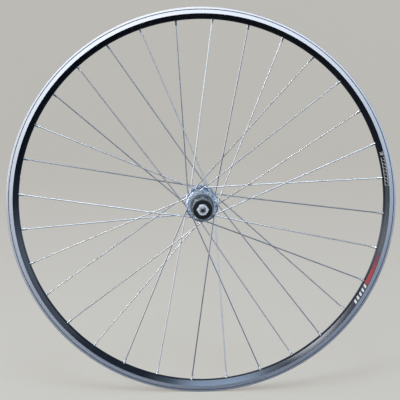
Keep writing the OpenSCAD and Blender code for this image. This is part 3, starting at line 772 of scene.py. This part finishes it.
# The thread's ridge climbs one pitch for each turn
def axleShape():
    look = axleLook
    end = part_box("axle")[1].y
    threadEnd = end - look["chamfer"]
    steps = round((threadEnd - look["threadFrom"]) / (look["pitch"] / 8))
    stations = [look["threadFrom"] + (threadEnd - look["threadFrom"]) * i / steps for i in range(steps + 1)]
    rings = []
    for s in [-s for s in reversed(stations)] + stations:
        rings.append([
            (look["radius"] - look["depth"] * abs(2 * ((s / look["pitch"] - j / look["sides"]) % 1) - 1), s)
            for j in range(look["sides"])
        ])
    small = look["radius"] - look["chamfer"]
    inner = [(small, end), (look["bore"] + 0.3 * mm, end), (look["bore"], end - 0.3 * mm),
             (look["bore"], 0.3 * mm - end), (look["bore"] + 0.3 * mm, -end), (small, -end)]
    rings += [[place] * look["sides"] for place in inner]
    vertices, faces = [], []
    for ring in rings:
        for j, (radius, s) in enumerate(ring):
            turn = 2 * math.pi * j / look["sides"]
            vertices.append((radius * math.cos(turn), radius * math.sin(turn), s))
    sides = look["sides"]
    for i in range(len(rings)):
        here, there = i * sides, (i + 1) % len(rings) * sides
        for j in range(sides):
            k = (j + 1) % sides
            faces.append((here + j, here + k, there + k, there + j))
    return vertices, faces


axle = newObject("axlePiece", moved(axleShape(), onAxle))
smooth(axle, 38)
asPiece(axle, "axle_set", ["axle"], [
    turnedMetal("axleSteel", metal((0.20, 0.20, 0.21), (0.46, 0.46, 0.47), 0.3)),
])
print("axle built")


# Parts that keep their own shape

rubberLook = {
    "dark": (0.004, 0.004, 0.005, 1), "dusty": (0.018, 0.018, 0.018, 1), "roughness": 0.46, "gloss": 0.25,
}


# Moulded black rubber with dust in its grain
def rubberSurface():
    surface = Surface("sealRubber")
    grain = surface.noise(surface.place, 3000, 3.0)
    dust = surface.noise(surface.place, 320, 4.0)
    return surface.finish({
        "Base Color": surface.colours(dust, rubberLook["dark"], rubberLook["dusty"]),
        "Roughness": rubberLook["roughness"] + dust * 0.25, "Specular IOR Level": rubberLook["gloss"],
        "Metallic": 0.0,
        "Normal": surface.bump(grain, 0.25, 0.00006),
    })


nodeMetals = {
    "nutSteel": (turnedMetal, ["drive_locknut", "left_locknut"],
                 metal((0.74, 0.75, 0.76), (0.96, 0.96, 0.96), 0.34, pitch=0.0005)),
    "coneSteel": (turnedMetal, ["drive_cone", "left_cone"],
                  metal((0.30, 0.30, 0.31), (0.62, 0.62, 0.62), 0.24, pitch=0.0003)),
    "washerSteel": (plainMetal, ["drive_lock_washer", "left_lock_washer"],
                    metal((0.30, 0.30, 0.30), (0.60, 0.60, 0.59), 0.34)),
    "spacerAlloy": (turnedMetal, ["left_spacer"],
                    metal((0.52, 0.53, 0.55), (0.80, 0.81, 0.83), 0.3, pitch=0.0004)),
    "sleeveAlloy": (plainMetal, ["rim_joint_sleeve"],
                    metal((0.50, 0.51, 0.52), (0.74, 0.75, 0.76), 0.42)),
    "raceSteel": (turnedMetal, ["left_bearing_cup", "freehub_cup"],
                  metal((0.36, 0.36, 0.37), (0.70, 0.70, 0.70), 0.18, pitch=0.0002)),
    "capSteel": (plainMetal, ["left_dust_cap", "drive_dust_cap"],
                 metal((0.40, 0.40, 0.41), (0.74, 0.74, 0.73), 0.26)),
    "coreSteel": (plainMetal, ["freehub_core"], metal((0.30, 0.30, 0.29), (0.52, 0.52, 0.50), 0.38)),
    "boltSteel": (plainMetal, ["freehub_bolt", "freehub_shim"],
                  metal((0.20, 0.20, 0.20), (0.42, 0.42, 0.41), 0.36)),
    "springSteel": (plainMetal, ["pawl_springs"], metal((0.34, 0.33, 0.30), (0.66, 0.64, 0.58), 0.25)),
    "pawlSteel": (plainMetal, ["pawl_1", "pawl_2"], metal((0.24, 0.24, 0.23), (0.48, 0.47, 0.45), 0.3)),
    "freehubSteel": (turnedMetal, ["freehub_body"],
                     metal((0.09, 0.10, 0.105), (0.26, 0.28, 0.29), 0.30, pitch=0.0006, smear=12)),
    "ballSteel": (plainMetal, ["drive_bearing_balls", "left_bearing_balls", "freehub_outer_balls",
                               "freehub_inner_balls"],
                  metal((0.70, 0.70, 0.71), (0.86, 0.86, 0.87), 0.07, grainDepth=0.01)),
}


def repaint(node, material):
    slots = nodes[node].data.materials
    if len(slots):
        for i in range(len(slots)):
            slots[i] = material
    else:
        slots.append(material)


for name, (make, members, look) in nodeMetals.items():
    material = make(name, look)
    for member in members:
        repaint(member, material)
rubber = rubberSurface()
for member in ("drive_seal", "left_seal", "freehub_inner_seal"):
    repaint(member, rubber)
print("node materials set")


# Stage, lights and camera

stageLook = {
    "floorRings": (0.02, 0.6, 1.5), "flat": 3.4, "wall": 5.6, "height": 3.2, "steps": 96,
    "colour": (0.275, 0.264, 0.240, 1), "glow": 1.36,
}


# A wide dish, so that no horizon shows from any side
def buildStage():
    floor = -rimRadius - 0.4 * mm
    curve = stageLook["wall"] - stageLook["flat"]
    profile = [(r, floor) for r in (*stageLook["floorRings"], stageLook["flat"])]
    profile += arc((stageLook["flat"], floor + curve), curve, -90, 0, 16)[1:]
    profile.append((stageLook["wall"], stageLook["height"]))
    steps = stageLook["steps"]
    vertices = [(r * math.cos(2 * math.pi * i / steps), r * math.sin(2 * math.pi * i / steps), z)
                for r, z in profile for i in range(steps)]
    faces = [
        (a * steps + i, a * steps + (i + 1) % steps, (a + 1) * steps + (i + 1) % steps, (a + 1) * steps + i)
        for a in range(len(profile) - 1) for i in range(steps)
    ]
    faces.append(tuple(range(steps - 1, -1, -1)))
    stage = newObject("stageDish", (vertices, faces), outward=False)
    stage.data.shade_smooth()
    surface = Surface("stagePaper")
    grain = surface.noise(surface.place, 260, 3.0)
    paper = surface.colours(grain, stageLook["colour"], tuple(c * 0.97 for c in stageLook["colour"]))
    stage.data.materials.append(surface.finish({
        "Base Color": paper, "Roughness": 0.9, "Specular IOR Level": 0.1,
        "Emission Color": paper, "Emission Strength": stageLook["glow"],
    }))
    stage.visible_glossy = False


def addLight(name, place, target, size, power, colour):
    lamp = bpy.data.lights.new(name, "AREA")
    lamp.shape = "RECTANGLE"
    lamp.size, lamp.size_y = size
    lamp.energy = power
    lamp.color = colour
    light = bpy.data.objects.new(name, lamp)
    bpy.context.scene.collection.objects.link(light)
    light.location = place
    light.rotation_euler = (Vector(target) - Vector(place)).to_track_quat("-Z", "Y").to_euler()
    light.visible_camera = False


buildStage()
# Each row is the light's place, what it faces, its size, power and colour
lights = {
    "keyLight": ((-2.0, -2.4, 1.9), (0, 0, 0), (1.1, 1.1), 40, (1.0, 0.985, 0.96)),
    "topLight": ((-0.6, -0.3, 3.0), (0, 0, 0), (2.2, 2.2), 18, (0.96, 0.97, 1.0)),
    "frontLight": ((-0.2, -1.5, 2.6), (0, 0, -0.1), (1.3, 1.6), 40, (0.66, 0.83, 1.0)),
    "fillLight": ((2.6, -1.8, 0.9), (0, 0, 0), (1.4, 1.8), 8, (0.86, 0.93, 1.0)),
}
for name, settings in lights.items():
    addLight(name, *settings)

# What the metal mirrors: dark below, a white band at eye level and a cool sky above. The right
# side is shaded, as if by a building
skyLook = {
    "strength": 2.1, "shadeFrom": -0.15, "shadeTo": 0.4, "shade": (0.42, 0.50, 0.60, 1),
    "bands": [
        (0.00, (0.030, 0.032, 0.036, 1)), (0.30, (0.070, 0.082, 0.105, 1)),
        (0.37, (0.105, 0.130, 0.175, 1)), (0.43, (0.20, 0.235, 0.30, 1)),
        (0.470, (0.54, 0.58, 0.65, 1)), (0.495, (1.0, 1.0, 1.0, 1)),
        (0.55, (0.80, 0.84, 0.90, 1)), (0.66, (0.20, 0.23, 0.29, 1)), (1.00, (0.12, 0.14, 0.18, 1)),
    ],
}


def buildSky():
    world = bpy.data.worlds.new("studio")
    bpy.context.scene.world = world
    world.use_nodes = True
    tree = world.node_tree
    tree.nodes.clear()
    direction = addNode(tree, "ShaderNodeTexCoord", {}, {}, "Generated")
    parts = addNode(tree, "ShaderNodeSeparateXYZ", {}, {0: direction})
    height = parts.output("Z") * 0.5 + 0.5
    shaded = addNode(tree, "ShaderNodeMapRange", {"interpolation_type": "SMOOTHSTEP"}, {
        "Value": parts, "From Min": skyLook["shadeFrom"], "From Max": skyLook["shadeTo"],
    })
    colour = addNode(tree, "ShaderNodeValToRGB", {}, {0: height})
    stops = colour.socket.node.color_ramp.elements
    for i, (place, tint) in enumerate(skyLook["bands"]):
        stop = stops[i] if i < 2 else stops.new(place)
        stop.position = place
        stop.color = tint
    tint = addNode(tree, "ShaderNodeMix", {"data_type": "RGBA", "blend_type": "MULTIPLY"}, {
        0: shaded, 6: colour, 7: skyLook["shade"],
    }, 2)
    light = addNode(tree, "ShaderNodeBackground", {}, {"Color": tint, "Strength": skyLook["strength"]})
    addNode(tree, "ShaderNodeOutputWorld", {}, {"Surface": light})


buildSky()

cameraLook = {
    "place": (-0.046, -1.7006, 0.271), "target": (-0.0029, 0, 0.0062), "lens": 94.72,
}
camera = bpy.data.objects.new("camera", bpy.data.cameras.new("camera"))
bpy.context.scene.collection.objects.link(camera)
camera.location = cameraLook["place"]
gaze = Vector(cameraLook["target"]) - Vector(cameraLook["place"])
camera.rotation_euler = gaze.to_track_quat("-Z", "Y").to_euler()
camera.data.lens = cameraLook["lens"]
camera.data.sensor_width = 36
bpy.context.scene.camera = camera
bpy.context.scene.view_settings.view_transform = "Standard"
print("stage, lights and camera set")
